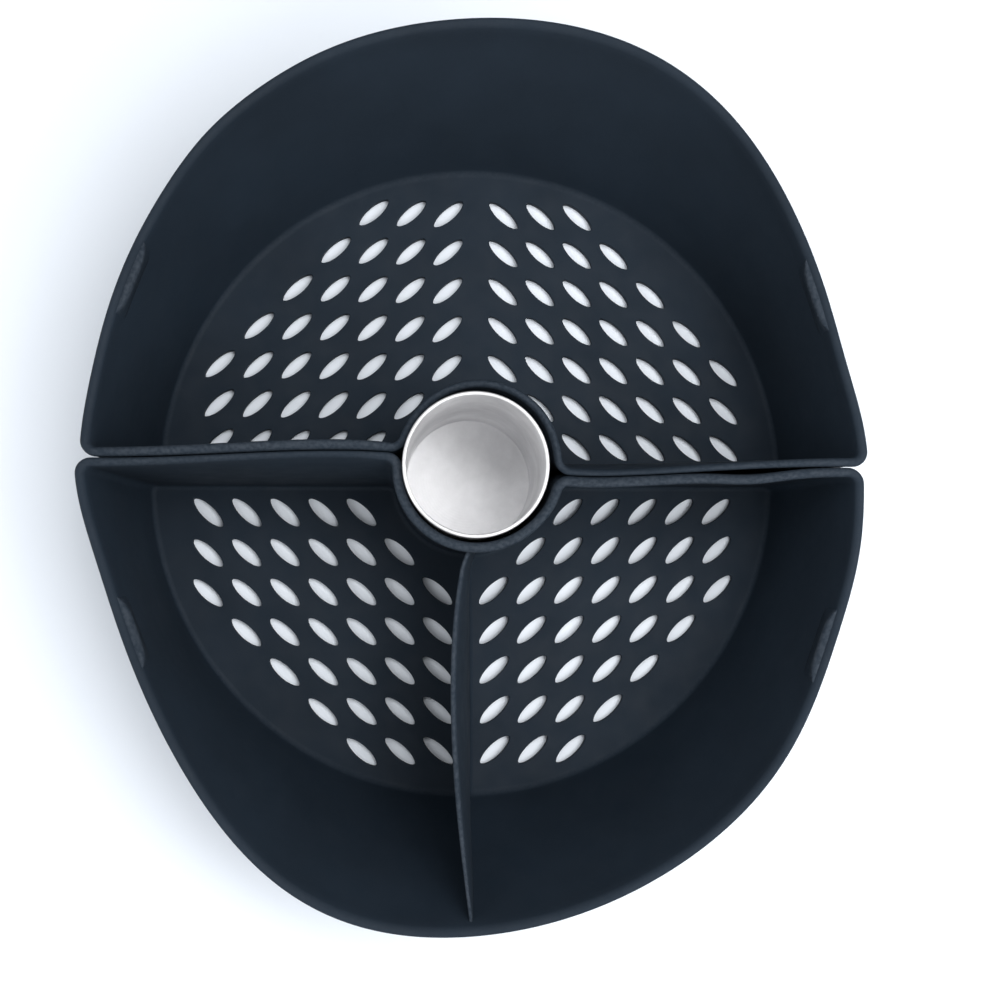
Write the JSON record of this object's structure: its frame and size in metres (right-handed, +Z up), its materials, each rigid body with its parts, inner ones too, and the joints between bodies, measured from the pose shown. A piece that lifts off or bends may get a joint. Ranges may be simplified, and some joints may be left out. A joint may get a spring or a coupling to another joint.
{
  "type": "divided steamer insert",
  "caption": "Round cooker insert for steaming: soft perforated half trays with finger grips and a divider, standing around a loose metal cup.",
  "frame": {"origin": "centre of the underside, on the line that divides the trays and under the middle of the cup", "axes": "+Z up, +Y from the divided front tray to the undivided rear tray, +X along the dividing line to the right"},
  "size_m": [0.1828, 0.215, 0.0505],
  "materials": {
    "silicone": "matte dark blue-grey moulded silicone",
    "cup_metal": "satin drawn aluminium"
  },
  "bodies": {
    "cup": {"centre_cup": "cup_metal"},
    "rear_half": {"rear_tray": "silicone"},
    "front_half": {"front_tray": "silicone"}
  },
  "joints": [
    {"name": "rear_lift", "type": "slide", "parent": "cup", "child": "rear_half", "axis": [0, 0.1045, 0.9945], "range_m": [0, 0.06]},
    {"name": "front_lift", "type": "slide", "parent": "cup", "child": "front_half", "axis": [0, -0.1045, 0.9945], "range_m": [0, 0.06]}
  ]
}
